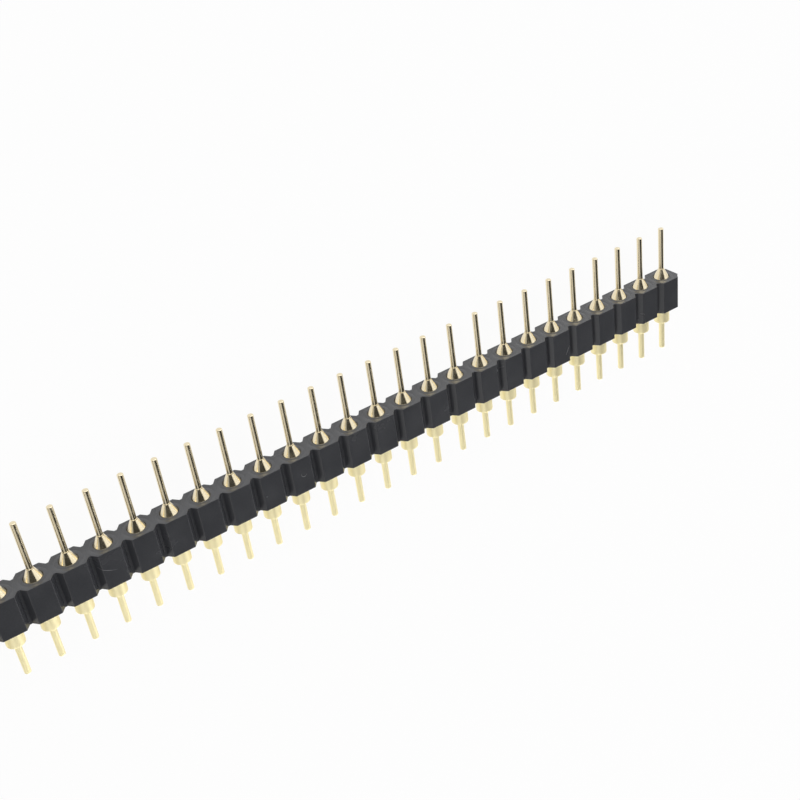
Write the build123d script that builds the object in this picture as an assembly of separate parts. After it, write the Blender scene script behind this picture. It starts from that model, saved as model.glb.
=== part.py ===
"""Single-row header strip with turned round pins, at the 2.54 mm pitch.

Each pin is one turned piece, pressed into one moulded housing that is scored between
positions, so that it can be snapped to length. Millimetres, +Z up.

The strip is drawn upright, with its tail tips at z = 0, and then laid on the back
side of its housing, as a loose strip comes to rest: the row runs along X and the
contact pins point to +Y.
"""
from build123d import *
import os

# Row
PITCH = 2.54
POSITIONS = 32

# Housing: width across the row and height along the pins
HOUSING_WIDTH = 2.4
HOUSING_HEIGHT = 3.0

# Break grooves, one between every two positions, on both sides of the row
GROOVE_OPENING = 0.88
GROOVE_FLOOR = 0.18
GROOVE_DEPTH = 0.45

# Pin: tail below the board seat, barrel through the housing, cone and contact above it
TAIL_DIAMETER = 0.50
TAIL_LENGTH = 2.8
BARREL_DIAMETER = 1.37
STANDOFF = 1.4
CONTACT_DIAMETER = 0.46
CONTACT_LENGTH = 4.6
CONE_HEIGHT = 0.84
CONE_SINK = 0.06

# The barrel is an interference fit in soft plastic, drawn here with a hair of room
PRESS_ROOM = 0.01

# Heights along the upright strip, from the tail tips
SEAT_Z = TAIL_LENGTH
HOUSING_Z = SEAT_Z + STANDOFF
HOUSING_TOP_Z = HOUSING_Z + HOUSING_HEIGHT
CONE_Z = HOUSING_TOP_Z - CONE_SINK
CONTACT_Z = CONE_Z + CONE_HEIGHT
PIN_LENGTH = HOUSING_TOP_Z + CONTACT_LENGTH

ROW_LENGTH = POSITIONS * PITCH
PIN_XS = [(i - (POSITIONS - 1) / 2) * PITCH for i in range(POSITIONS)]

# Laid down: contacts to +Y, half of the pins' length on each side of the origin,
# and the housing's back side on z = 0
LAID_DOWN = Pos(0, -PIN_LENGTH / 2, HOUSING_WIDTH / 2) * Rot(-90, 0, 0)


def groove_cutter(side):
    """A prism with the groove's trapezium section, cut into the side at y = side * width / 2."""
    face_y = side * HOUSING_WIDTH / 2
    floor_y = face_y - side * GROOVE_DEPTH
    section = make_face(
        Polyline(
            (-GROOVE_OPENING / 2, face_y),
            (GROOVE_OPENING / 2, face_y),
            (GROOVE_FLOOR / 2, floor_y),
            (-GROOVE_FLOOR / 2, floor_y),
            close=True,
        )
    )
    return Pos(0, 0, HOUSING_Z) * extrude(section, HOUSING_HEIGHT, dir=(0, 0, 1))


def housing():
    """The moulded bar: a groove at each pitch line, the two end faces included, and a bore per pin."""
    bar = Pos(0, 0, HOUSING_Z) * Box(
        ROW_LENGTH,
        HOUSING_WIDTH,
        HOUSING_HEIGHT,
        align=(Align.CENTER, Align.CENTER, Align.MIN),
    )
    groove_xs = [(i - POSITIONS / 2) * PITCH for i in range(POSITIONS + 1)]
    grooves = [Pos(x, 0, 0) * groove_cutter(side) for x in groove_xs for side in (-1, 1)]
    bore = Pos(0, 0, HOUSING_Z) * Cylinder(
        BARREL_DIAMETER / 2 + PRESS_ROOM,
        HOUSING_HEIGHT,
        align=(Align.CENTER, Align.CENTER, Align.MIN),
    )
    return bar - grooves - [Pos(x, 0, 0) * bore for x in PIN_XS]


def pin():
    """One turned pin, as half of its outline swept round its own axis."""
    tail_r = TAIL_DIAMETER / 2
    barrel_r = BARREL_DIAMETER / 2
    contact_r = CONTACT_DIAMETER / 2
    outline = make_face(
        Polyline(
            (0, 0),
            (tail_r, 0),
            (tail_r, SEAT_Z),
            (barrel_r, SEAT_Z),
            (barrel_r, CONE_Z),
            (contact_r, CONTACT_Z),
            (contact_r, PIN_LENGTH),
            (0, PIN_LENGTH),
            close=True,
        )
    )
    return revolve(Plane.XZ * outline, Axis.Z)


os.makedirs("parts", exist_ok=True)
export_step(LAID_DOWN * housing(), "parts/housing.step")
turned_pin = pin()
for number, x in enumerate(PIN_XS, start=1):
    export_step(LAID_DOWN * Pos(x, 0, 0) * turned_pin, f"parts/pin_{number:02d}.step")
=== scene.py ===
"""The look of the header strip: a scored black housing with turned, gold-plated pins.

Metres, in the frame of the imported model. The strip lies on one long side of its housing,
the row runs along X and the contact pins point to +Y.
"""
import bpy
import bmesh
import math
import numpy as np
from mathutils import Matrix, Vector


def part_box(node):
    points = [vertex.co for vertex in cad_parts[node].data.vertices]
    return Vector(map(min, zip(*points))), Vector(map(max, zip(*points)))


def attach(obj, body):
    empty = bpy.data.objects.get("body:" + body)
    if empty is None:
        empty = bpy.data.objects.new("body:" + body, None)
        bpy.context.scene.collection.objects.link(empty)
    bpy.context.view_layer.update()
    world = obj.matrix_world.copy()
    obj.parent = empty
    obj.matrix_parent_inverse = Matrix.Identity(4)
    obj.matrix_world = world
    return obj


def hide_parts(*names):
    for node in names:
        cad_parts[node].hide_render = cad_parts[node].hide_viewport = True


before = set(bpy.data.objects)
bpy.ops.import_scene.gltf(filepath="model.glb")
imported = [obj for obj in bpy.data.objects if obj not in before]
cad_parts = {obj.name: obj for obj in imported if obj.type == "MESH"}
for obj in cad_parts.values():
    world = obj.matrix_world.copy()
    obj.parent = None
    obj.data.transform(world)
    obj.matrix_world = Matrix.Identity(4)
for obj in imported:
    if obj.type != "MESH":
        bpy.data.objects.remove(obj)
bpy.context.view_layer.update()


# Housing
# One injection moulding in black glass-filled polyester, scored between every two positions
# on both sides so that it snaps to length. The mould gives every edge a small radius, and
# the sleeve round each core pin leaves a faint ring round each bore.

MM = 0.001
pitch = 2.54 * MM
groove_opening = 0.88 * MM
groove_floor = 0.18 * MM
groove_depth = 0.45 * MM
edge_radius = 0.03 * MM
mouth_radius = 0.05 * MM
foot_radius = 0.02 * MM
end_radius = 0.05 * MM
bore_radius = 0.695 * MM
rim_radius = 0.05 * MM
sleeve_radius = 1.0 * MM
sleeve_line_width = 0.04 * MM
sleeve_line_depth = 0.006 * MM
weld_distance = 0.0001 * MM
arc_steps = 4
# A second row of points this far from each rounded edge keeps the flats flat when shaded
support_gap = 0.03 * MM

housing_low, housing_high = (np.array(corner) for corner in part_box("housing"))
housing_side = (housing_high[2] - housing_low[2]) / 2
row_z = (housing_high[2] + housing_low[2]) / 2
positions = round((housing_high[0] - housing_low[0]) / pitch)
pin_xs = (np.arange(positions) - (positions - 1) / 2) * pitch


def left_of(direction):
    """A direction turned a quarter left: (x, y) becomes (-y, x)."""
    return np.stack([-direction[..., 1], direction[..., 0]], axis=-1)


def rounded_path(corners, radii, steps, closed=False):
    """Points of a path of straight runs with rounded corners.

    With the points come their normals, to the path's left, and the number of the run that
    leads on from each point. The number is -1 where an arc leads on, or nothing does.

    An arc of radius r round a corner starts r * tan(turn / 2) before it, and its centre
    lies r to the side to which the path turns. Its points are the centre plus r times the
    normal, which turns evenly from that of the run before to that of the run after. Each
    run is then cut into its number of steps, with one more point near each of its ends,
    so that smooth shading doesn't bend the flat stretches.
    """
    corners = np.asarray(corners, float)
    ahead = np.roll(corners, -1, axis=0) - corners
    ahead /= np.linalg.norm(ahead, axis=1, keepdims=True)
    behind = np.roll(ahead, 1, axis=0)
    turn = np.arctan2(
        behind[:, 0] * ahead[:, 1] - behind[:, 1] * ahead[:, 0], (behind * ahead).sum(axis=1)
    )
    side = np.sign(turn)
    arcs, arc_normals = [], []
    for i, radius in enumerate(radii):
        if radius == 0:
            run = behind if i == len(corners) - 1 and not closed else ahead
            arcs.append(corners[i : i + 1])
            arc_normals.append(left_of(run[i : i + 1]))
            continue
        angle = np.linspace(0, turn[i], arc_steps + 1)[:, None]
        normal = np.cos(angle) * left_of(behind[i]) - np.sin(angle) * behind[i]
        setback = radius * np.tan(abs(turn[i]) / 2)
        centre = corners[i] - behind[i] * setback + side[i] * radius * left_of(behind[i])
        arcs.append(centre - side[i] * radius * normal)
        arc_normals.append(normal)
    points, normals, run_of = [], [], []
    for i, arc in enumerate(arcs):
        points.append(arc)
        normals.append(arc_normals[i])
        run_of.append(np.full(len(arc), -1))
        if i == len(arcs) - 1 and not closed:
            break
        start, stop = arc[-1], arcs[(i + 1) % len(arcs)][0]
        near = support_gap / np.linalg.norm(stop - start)
        inner = np.linspace(0, 1, steps[i] + 1)[1:-1]
        share = np.concatenate([[near], inner, [1 - near]]) if steps[i] > 1 else np.zeros(0)
        points.append(start + (stop - start) * share[:, None])
        normals.append(np.repeat(left_of(ahead[i : i + 1]), len(share), axis=0))
        run_of[-1][-1] = i
        run_of.append(np.full(len(share), i))
    return np.vstack(points), np.vstack(normals), np.concatenate(run_of)


def cell_outline(closed_left, closed_right):
    """One position's outline, seen along the pins and centred on its pin, anticlockwise.

    On each long side it runs over half a groove's floor, its slope, the flat, the next
    slope and half the next floor. Towards a neighbour it closes along the line on which
    the two positions meet, which carries no wall. That line's ends step in with the rounded
    edge, so it has no other point near them.
    """
    half, foot, mouth = pitch / 2, (pitch - groove_floor) / 2, (pitch - groove_opening) / 2
    floor = housing_side - groove_depth
    upper = [(half, floor), (foot, floor), (mouth, housing_side)]
    upper += [(-mouth, housing_side), (-foot, floor), (-half, floor)]
    corners = np.array(upper + [(-x, -z) for x, z in upper])
    right, left = end_radius * closed_right, end_radius * closed_left
    radii = [right, foot_radius, mouth_radius, mouth_radius, foot_radius, left]
    radii += [left, foot_radius, mouth_radius, mouth_radius, foot_radius, right]
    steps = [1, 3, 8, 3, 1, 7] * 2
    points, normals, run_of = rounded_path(corners, radii, steps, closed=True)
    outward = -normals
    meeting = np.zeros(len(points), bool)
    kept = np.ones(len(points), bool)
    below_floor = floor - np.abs(points[:, 1])
    tolerance = support_gap / 1000
    for run, closed, side in ((5, closed_left, -1), (11, closed_right, 1)):
        if not closed:
            meeting |= run_of == run
            on_line = np.abs(points[:, 0] - side * half) < tolerance
            outward[on_line] = 0
            ends = on_line & (below_floor < tolerance)
            kept[on_line & ~ends & (below_floor < edge_radius + 2 * support_gap)] = False
            outward[ends] = np.stack([np.zeros(ends.sum()), np.sign(points[ends, 1])], axis=1)
    return points[kept], outward[kept], ~meeting[kept]


def quarter(steps):
    """Sine and one minus cosine of evenly spaced angles over a quarter turn."""
    angle = np.linspace(0, np.pi / 2, steps + 1)
    return np.sin(angle), 1 - np.cos(angle)


def quads(index):
    """Corner indices of the quads between neighbouring entries of a grid of indices."""
    corners = [index[:-1, :-1], index[1:, :-1], index[1:, 1:], index[:-1, 1:]]
    return np.stack(corners, axis=-1).reshape(-1, 4)


def housing_cell(number):
    """Points and quads of one position: its two ends, its bore and its outer wall.

    The grid has a column for each point of the outline and a row for each step across
    the surface. From the outer edge of the top end the rows step in, along the outline's
    inward normals, then on circles round the bore: over the sleeve's line, the rounded rim
    and down the bore, and the same way out over the lower end. The wall's rows go
    from the lower end's outer edge back up, over both rounded edges. On a line where two
    positions meet there is no wall, and so no rounded edge either.
    """
    outline, outward, wall = cell_outline(number == 0, number == positions - 1)
    around = outline / np.linalg.norm(outline, axis=1, keepdims=True)
    sine, fall = quarter(arc_steps)
    line = sleeve_line_width / 2
    insets = [edge_radius, edge_radius + support_gap]
    rings = [sleeve_radius + line, sleeve_radius, sleeve_radius - line]
    rings += [bore_radius + rim_radius + support_gap]
    rings = np.concatenate([rings, bore_radius + rim_radius * (1 - sine)])
    ring_depths = np.concatenate([[0, sleeve_line_depth, 0, 0], rim_radius * fall])
    end_rows = np.vstack(
        [outline[None] - np.array(insets)[:, None, None] * outward[None]]
        + [rings[:, None, None] * around[None]]
    )
    end_depths = np.concatenate([np.zeros(len(insets)), ring_depths])
    bore_depth = rim_radius + support_gap
    bore_rows = np.repeat(bore_radius * around[None], 2, axis=0)
    wall_insets = np.concatenate([edge_radius * (1 - sine[1:]), [0]])
    wall_depths = np.concatenate([edge_radius * fall[1:], [edge_radius + support_gap]])
    wall_rows = outline[None] - wall_insets[:, None, None] * outward[None]
    top, bottom = housing_high[1], housing_low[1]
    rows = [end_rows, bore_rows, end_rows[::-1], wall_rows, wall_rows[::-1]]
    heights = [top - end_depths, [top - bore_depth, bottom + bore_depth]]
    heights += [bottom + end_depths[::-1], bottom + wall_depths, top - wall_depths[::-1]]
    rows, heights = np.vstack(rows), np.concatenate(heights)
    points = np.empty((*rows.shape[:2], 3))
    points[..., 0] = pin_xs[number] + rows[..., 0]
    points[..., 1] = heights[:, None]
    points[..., 2] = row_z + rows[..., 1]
    index = np.arange(points.shape[0] * points.shape[1]).reshape(points.shape[:2])
    index = np.vstack([index, index[:1]])
    index = np.hstack([index, index[:, :1]])
    faces = quads(index).reshape(-1, len(wall), 4)
    row = np.arange(len(faces))
    edge_rows = len(insets)
    across = (row >= edge_rows - 1) & (row < 2 * len(end_rows) + len(bore_rows) - edge_rows)
    return points.reshape(-1, 3), faces[across[:, None] | wall]


def closed_mesh(name, parts, material):
    """One object from several (points, quads), with points that coincide merged."""
    firsts = np.cumsum([0] + [len(points) for points, _ in parts])
    points = np.vstack([points for points, _ in parts])
    faces = np.vstack([faces + first for (_, faces), first in zip(parts, firsts)])
    mesh = bpy.data.meshes.new(name)
    mesh.from_pydata(points.tolist(), [], faces.tolist())
    merged = bmesh.new()
    merged.from_mesh(mesh)
    bmesh.ops.remove_doubles(merged, verts=merged.verts, dist=weld_distance)
    bmesh.ops.recalc_face_normals(merged, faces=merged.faces)
    merged.to_mesh(mesh)
    merged.free()
    mesh.polygons.foreach_set("use_smooth", np.ones(len(mesh.polygons), bool))
    mesh.materials.append(material)
    piece = bpy.data.objects.new(name, mesh)
    bpy.context.collection.objects.link(piece)
    return piece


def srgb(code):
    """Linear red, green, blue and alpha of a hex colour."""
    value = np.array([int(code[i : i + 2], 16) for i in (1, 3, 5)]) / 255
    linear = np.where(value <= 0.04045, value / 12.92, ((value + 0.055) / 1.055) ** 2.4)
    return (*linear.tolist(), 1.0)


def add_node(tree, kind, settings, inputs):
    """Adds a node, applies its settings, and links or sets each input by its name or number."""
    made = tree.nodes.new(kind)
    for name, value in settings.items():
        setattr(made, name, value)
    for socket, value in inputs.items():
        if isinstance(value, bpy.types.NodeSocket):
            tree.links.new(value, made.inputs[socket])
        else:
            made.inputs[socket].default_value = value
    return made


def glass_filled_polyester():
    """Glass-filled polyester, injection moulded black.

    Its own colour is a very dark grey under a low sheen that mirrors the pale room. Fibres
    just under the skin leave a fine grain, and the gloss changes from patch to patch where
    the skin froze against the mould. Handling has left a few hair scratches, each a short
    arc. They are under 0.01 mm wide and are drawn at 0.03 mm to show.
    """
    fibre_grain = 0.12 * MM
    gloss_patch = 1.8 * MM
    scratch_width = 0.03 * MM
    front = housing_high[2]
    # For each scratch, in mm and degrees: its middle, its tilt, its radius and half its length
    scratches = [
        ((-14.5, -0.1), 30, 2.6, 0.8),
        ((27.3, -0.6), -60, 9.0, 0.5),
        ((1.3, -0.3), 20, 0.22, 0.34),
        ((-29.4, 0.5), -15, 4.0, 0.4),
    ]
    material = bpy.data.materials.new("moulded_glass_filled_polyester_black")
    material.use_nodes = True
    tree = material.node_tree
    shader = tree.nodes["Principled BSDF"]
    place = add_node(tree, "ShaderNodeTexCoord", {}, {}).outputs["Object"]
    patches = add_node(
        tree, "ShaderNodeTexNoise", {}, {"Vector": place, "Scale": 1 / gloss_patch, "Detail": 3.0}
    ).outputs["Fac"]
    grain = add_node(
        tree, "ShaderNodeTexNoise", {}, {"Vector": place, "Scale": 1 / fibre_grain, "Detail": 2.0}
    ).outputs["Fac"]
    scratched = 0.0
    for (x, y), tilt, radius, reach in scratches:
        middle = Vector((x * MM, y * MM, front))
        across = Vector((math.sin(math.radians(tilt)), math.cos(math.radians(tilt)), 0))
        centre = middle + across * radius * MM
        from_centre = add_node(
            tree, "ShaderNodeVectorMath", {"operation": "DISTANCE"}, {0: place, 1: centre}
        ).outputs["Value"]
        on_arc = add_node(
            tree,
            "ShaderNodeMath",
            {"operation": "COMPARE"},
            {0: from_centre, 1: radius * MM, 2: scratch_width / 2},
        ).outputs[0]
        from_middle = add_node(
            tree, "ShaderNodeVectorMath", {"operation": "DISTANCE"}, {0: place, 1: middle}
        ).outputs["Value"]
        fading = add_node(
            tree,
            "ShaderNodeMapRange",
            {},
            {"Value": from_middle, "From Max": reach * MM, "To Min": 1.0, "To Max": 0.0},
        ).outputs[0]
        scratched = add_node(
            tree, "ShaderNodeMath", {"operation": "MULTIPLY_ADD"}, {0: on_arc, 1: fading, 2: scratched}
        ).outputs[0]
    smooth = add_node(
        tree,
        "ShaderNodeMapRange",
        {},
        {"Value": patches, "From Min": 0.3, "From Max": 0.7, "To Min": 0.2, "To Max": 0.28},
    ).outputs[0]
    roughness = add_node(
        tree, "ShaderNodeMapRange", {}, {"Value": scratched, "To Min": smooth, "To Max": 0.6}
    ).outputs[0]
    skin = add_node(
        tree,
        "ShaderNodeMix",
        {"data_type": "RGBA"},
        {0: grain, 6: srgb("#343538"), 7: srgb("#3D3E42")},
    ).outputs[2]
    colour = add_node(
        tree, "ShaderNodeMix", {"data_type": "RGBA"}, {0: scratched, 6: skin, 7: srgb("#7C7C7E")}
    ).outputs[2]
    bump = add_node(
        tree, "ShaderNodeBump", {}, {"Height": grain, "Strength": 0.15, "Distance": 0.01 * MM}
    ).outputs["Normal"]
    tree.links.new(colour, shader.inputs["Base Color"])
    tree.links.new(roughness, shader.inputs["Roughness"])
    tree.links.new(bump, shader.inputs["Normal"])
    shader.inputs["IOR"].default_value = 1.57
    return material


moulding = closed_mesh(
    "moulded_housing", [housing_cell(i) for i in range(positions)], glass_filled_polyester()
)
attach(moulding, "root")
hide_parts("housing")


# Pins
# Each is turned in one piece from brass rod on an automatic lathe and flash-plated with
# gold over nickel: a tail for the board, a barrel pressed into its bore, a cone and the
# contact. The lathe leaves a small chamfer on every edge.

tail_radius = 0.25 * MM
barrel_radius = 0.685 * MM
contact_radius = 0.23 * MM
collar_radius = 0.265 * MM
collar_height = 0.05 * MM
tail_length = 2.8 * MM
barrel_length = 4.34 * MM
cone_height = 0.84 * MM
tip_chamfer = 0.06 * MM
barrel_chamfer = 0.05 * MM
root_fillet = 0.03 * MM
cone_edge = 0.02 * MM
collar_edge = 0.01 * MM
contact_root = 0.012 * MM
pin_segments = 48


def pin_outline(tail_tip, contact_tip):
    """Half of the pin's outline: distance along the pin and radius, from tip to tip.

    Both tips are flat with a rounded chamfer. The barrel starts at the seat ring, and the
    cone ends in a small collar from which the contact rises.
    """
    seat = tail_tip + tail_length
    cone = seat + barrel_length
    collar = cone + cone_height
    corners = [
        (tail_tip, 0),
        (tail_tip, tail_radius),
        (seat, tail_radius),
        (seat, barrel_radius),
        (cone, barrel_radius),
        (collar - collar_height, collar_radius),
        (collar, collar_radius),
        (collar, contact_radius),
        (contact_tip, contact_radius),
        (contact_tip, 0),
    ]
    radii = [0, tip_chamfer, root_fillet, barrel_chamfer, cone_edge, collar_edge]
    radii += [contact_root, contact_root, tip_chamfer, 0]
    steps = [2, 4, 2, 4, 3, 1, 1, 6, 2]
    return rounded_path(corners, radii, steps)[0]


def turned_pin(x, tail_tip, contact_tip):
    """Points and quads of a pin: its outline turned once round the axis of its bore."""
    outline = pin_outline(tail_tip, contact_tip)
    angle = np.linspace(0, 2 * np.pi, pin_segments, endpoint=False)
    points = np.empty((len(outline), pin_segments, 3))
    points[..., 0] = x + outline[:, 1:] * np.cos(angle)
    points[..., 1] = outline[:, :1]
    points[..., 2] = row_z + outline[:, 1:] * np.sin(angle)
    index = np.arange(len(outline) * pin_segments).reshape(len(outline), pin_segments)
    return points.reshape(-1, 3), quads(np.hstack([index, index[:, :1]]))


def gold_over_nickel():
    """Flash gold over nickel on turned brass: a pale gold.

    The contact and its cone are burnished in the rollers that feed the pins, and reflect the room in long
    streaks.
    The tail and the barrel keep the plating's satin, and their gold is painted paler than the contact's:
    a painted glare. The tool leaves rings about 0.02 mm apart, which are drawn 0.07 mm apart to show.
    """
    tool_ring = 0.07 * MM
    scale_across = 0.02
    streak_width = 0.06 * MM
    streak_length = 1.5 * MM
    gloss_patch = 0.5 * MM
    material = bpy.data.materials.new("flash_gold_over_nickel_turned")
    material.use_nodes = True
    tree = material.node_tree
    shader = tree.nodes["Principled BSDF"]
    place = add_node(tree, "ShaderNodeTexCoord", {}, {}).outputs["Object"]
    height = add_node(tree, "ShaderNodeSeparateXYZ", {}, {"Vector": place}).outputs["Y"]
    # Rises from the tail end to the contact end. In the roughness it is the contact's burnish, and in the
    # colour it paints the tail and barrel paler: a painted glare.
    painted_glare_and_burnish = add_node(
        tree,
        "ShaderNodeMapRange",
        {},
        {"Value": height, "From Min": housing_low[1], "From Max": housing_high[1]},
    ).outputs[0]
    round_and_round = add_node(
        tree, "ShaderNodeMapping", {}, {"Vector": place, "Scale": (scale_across, 1.0, scale_across)}
    ).outputs["Vector"]
    rings = add_node(
        tree, "ShaderNodeTexNoise", {}, {"Vector": round_and_round, "Scale": 1 / tool_ring, "Detail": 2.0}
    ).outputs["Fac"]
    lengthways = add_node(
        tree,
        "ShaderNodeMapping",
        {},
        {"Vector": place, "Scale": (1.0, streak_width / streak_length, 1.0)},
    ).outputs["Vector"]
    streaks = add_node(
        tree, "ShaderNodeTexNoise", {}, {"Vector": lengthways, "Scale": 1 / streak_width, "Detail": 2.0}
    ).outputs["Fac"]
    patches = add_node(
        tree, "ShaderNodeTexNoise", {}, {"Vector": place, "Scale": 1 / gloss_patch, "Detail": 3.0}
    ).outputs["Fac"]
    gloss = add_node(
        tree,
        "ShaderNodeMapRange",
        {},
        {"Value": patches, "From Min": 0.3, "From Max": 0.7, "To Min": 0.12, "To Max": 0.24},
    ).outputs[0]
    roughness = add_node(
        tree, "ShaderNodeMapRange", {}, {"Value": painted_glare_and_burnish, "To Min": 0.5, "To Max": gloss}
    ).outputs[0]
    polish = add_node(
        tree,
        "ShaderNodeMix",
        {"data_type": "RGBA"},
        {0: streaks, 6: srgb("#E2D0A4"), 7: srgb("#F8EFD8")},
    ).outputs[2]
    # The tail and barrel are painted a paler gold than the contact. This is painted glare on top of their
    # real satin finish.
    colour = add_node(
        tree, "ShaderNodeMix", {"data_type": "RGBA"}, {0: painted_glare_and_burnish, 6: srgb("#FFF4C6"), 7: polish}
    ).outputs[2]
    turned = add_node(
        tree, "ShaderNodeBump", {}, {"Height": rings, "Strength": 0.05, "Distance": 0.004 * MM}
    ).outputs["Normal"]
    rolled = add_node(
        tree,
        "ShaderNodeBump",
        {},
        {"Height": streaks, "Strength": 0.25, "Distance": 0.006 * MM, "Normal": turned},
    ).outputs["Normal"]
    tree.links.new(colour, shader.inputs["Base Color"])
    tree.links.new(roughness, shader.inputs["Roughness"])
    tree.links.new(rolled, shader.inputs["Normal"])
    shader.inputs["Metallic"].default_value = 1.0
    return material


plating = gold_over_nickel()
for number, x in enumerate(pin_xs, start=1):
    node = f"pin_{number:02d}"
    tail_tip, contact_tip = (corner[1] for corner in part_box(node))
    pin = closed_mesh(f"turned_{node}", [turned_pin(x, tail_tip, contact_tip)], plating)
    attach(pin, "root")
    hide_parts(node)


# Floor
# A white sheet on which the strip lies. The camera, metal and gloss see it as almost pure
# white, and it keeps a trace of the strip's soft shadow.

floor_radius = 3.0
floor_segments = 64
# This share of what they see is plain white, and the rest is paper under the lamps
whiteness = 0.94


def white_sheet():
    """White paper: matt, with a hint of tooth."""
    material = bpy.data.materials.new("white_paper")
    material.use_nodes = True
    tree = material.node_tree
    paper = tree.nodes["Principled BSDF"]
    paper.inputs["Base Color"].default_value = srgb("#F6F6F6")
    paper.inputs["Roughness"].default_value = 0.9
    rays = add_node(tree, "ShaderNodeLightPath", {}, {})
    seen = rays.outputs["Is Camera Ray"]
    for kind in ("Is Glossy Ray", "Is Transmission Ray"):
        seen = add_node(
            tree, "ShaderNodeMath", {"operation": "MAXIMUM"}, {0: seen, 1: rays.outputs[kind]}
        ).outputs[0]
    share = add_node(tree, "ShaderNodeMath", {"operation": "MULTIPLY"}, {0: seen, 1: whiteness})
    white = add_node(tree, "ShaderNodeEmission", {}, {"Strength": 1.0})
    sheet = add_node(
        tree,
        "ShaderNodeMixShader",
        {},
        {0: share.outputs[0], 1: paper.outputs[0], 2: white.outputs[0]},
    )
    tree.links.new(sheet.outputs[0], tree.nodes["Material Output"].inputs["Surface"])
    return material


floor_mesh = bpy.data.meshes.new("floor")
floor_angle = np.linspace(0, 2 * np.pi, floor_segments, endpoint=False)
floor_rim = floor_radius * np.stack(
    [np.cos(floor_angle), np.sin(floor_angle), np.zeros(floor_segments)], axis=1
)
floor_mesh.from_pydata(floor_rim.tolist(), [], [list(range(floor_segments))])
floor_mesh.materials.append(white_sheet())
floor = bpy.data.objects.new("floor", floor_mesh)
bpy.context.collection.objects.link(floor)


# Light
# Soft panels round a table, in a pale room whose ceiling is dark and whose left wall is
# darker than the rest. The ceiling draws the dark line down each pin, between the panels.

aim = Vector((0.011, 0.0, 0.0))
panel_distance = 0.6


def soft_panel(name, direction, width, height, radiance):
    """A rectangular lamp that faces the strip, whose face is as bright as the radiance says.

    A lamp's power is pi times its area times its radiance.
    """
    lamp = bpy.data.lights.new(name, "AREA")
    lamp.shape = "RECTANGLE"
    lamp.size, lamp.size_y = width, height
    lamp.energy = math.pi * width * height * radiance
    panel = bpy.data.objects.new(name, lamp)
    direction = Vector(direction).normalized()
    panel.location = aim + direction * panel_distance
    panel.rotation_euler = direction.to_track_quat("Z", "Y").to_euler()
    bpy.context.collection.objects.link(panel)


soft_panel("panel_left", (-0.62, -0.50, 0.60), 0.42, 0.42, 0.60)
soft_panel("panel_front", (0.62, 0.36, 0.70), 0.45, 0.50, 1.0)
soft_panel("panel_key", (0.15, 0.86, 0.48), 1.30, 0.55, 1.55)
soft_panel("panel_rear", (0.10, -0.90, 0.42), 0.80, 0.34, 2.7)

world = bpy.data.worlds.new("pale_room")
bpy.context.scene.world = world
world.use_nodes = True
room = world.node_tree
direction = add_node(room, "ShaderNodeTexCoord", {}, {}).outputs["Generated"]
toward = add_node(room, "ShaderNodeSeparateXYZ", {}, {"Vector": direction}).outputs
# The walls' light goes by direction along X, and the room's fades from it to the ceiling's
wall_light = add_node(
    room,
    "ShaderNodeMapRange",
    {},
    {"Value": toward["X"], "From Min": -0.9, "From Max": -0.2, "To Min": 0.5, "To Max": 0.95},
).outputs[0]
room_light = add_node(
    room,
    "ShaderNodeMapRange",
    {"interpolation_type": "SMOOTHSTEP"},
    {"Value": toward["Z"], "From Min": 0.30, "From Max": 0.50, "To Min": wall_light, "To Max": 0.04},
).outputs[0]
room.links.new(room_light, room.nodes["Background"].inputs["Strength"])
room.nodes["Background"].inputs["Color"].default_value = (1, 1, 1, 1)


# Camera
# It looks down on the strip from the contacts' side, towards the right-hand end, and is
# rolled to one side, so that the pins lean.

camera_place = Vector((-27.955, 50.027, 68.814)) * MM
camera_aim = Vector((11.167, 1.381, 1.2)) * MM
camera_lens = 53.067
camera_film = 36.0
pins_lean = math.radians(-8.53)

lens = bpy.data.cameras.new("camera")
lens.lens = camera_lens
lens.sensor_width = camera_film
lens.clip_start = 0.001
lens.clip_end = 10.0
camera = bpy.data.objects.new("camera", lens)
look = (camera_aim - camera_place).normalized()
level_right = look.cross(Vector((0, 1, 0))).normalized()
level_up = level_right.cross(look)
right = level_right * math.cos(pins_lean) + level_up * math.sin(pins_lean)
up = right.cross(look)
camera.matrix_world = Matrix.Translation(camera_place) @ Matrix((right, up, -look)).transposed().to_4x4()
bpy.context.collection.objects.link(camera)
bpy.context.scene.camera = camera
bpy.context.scene.view_settings.view_transform = "Standard"
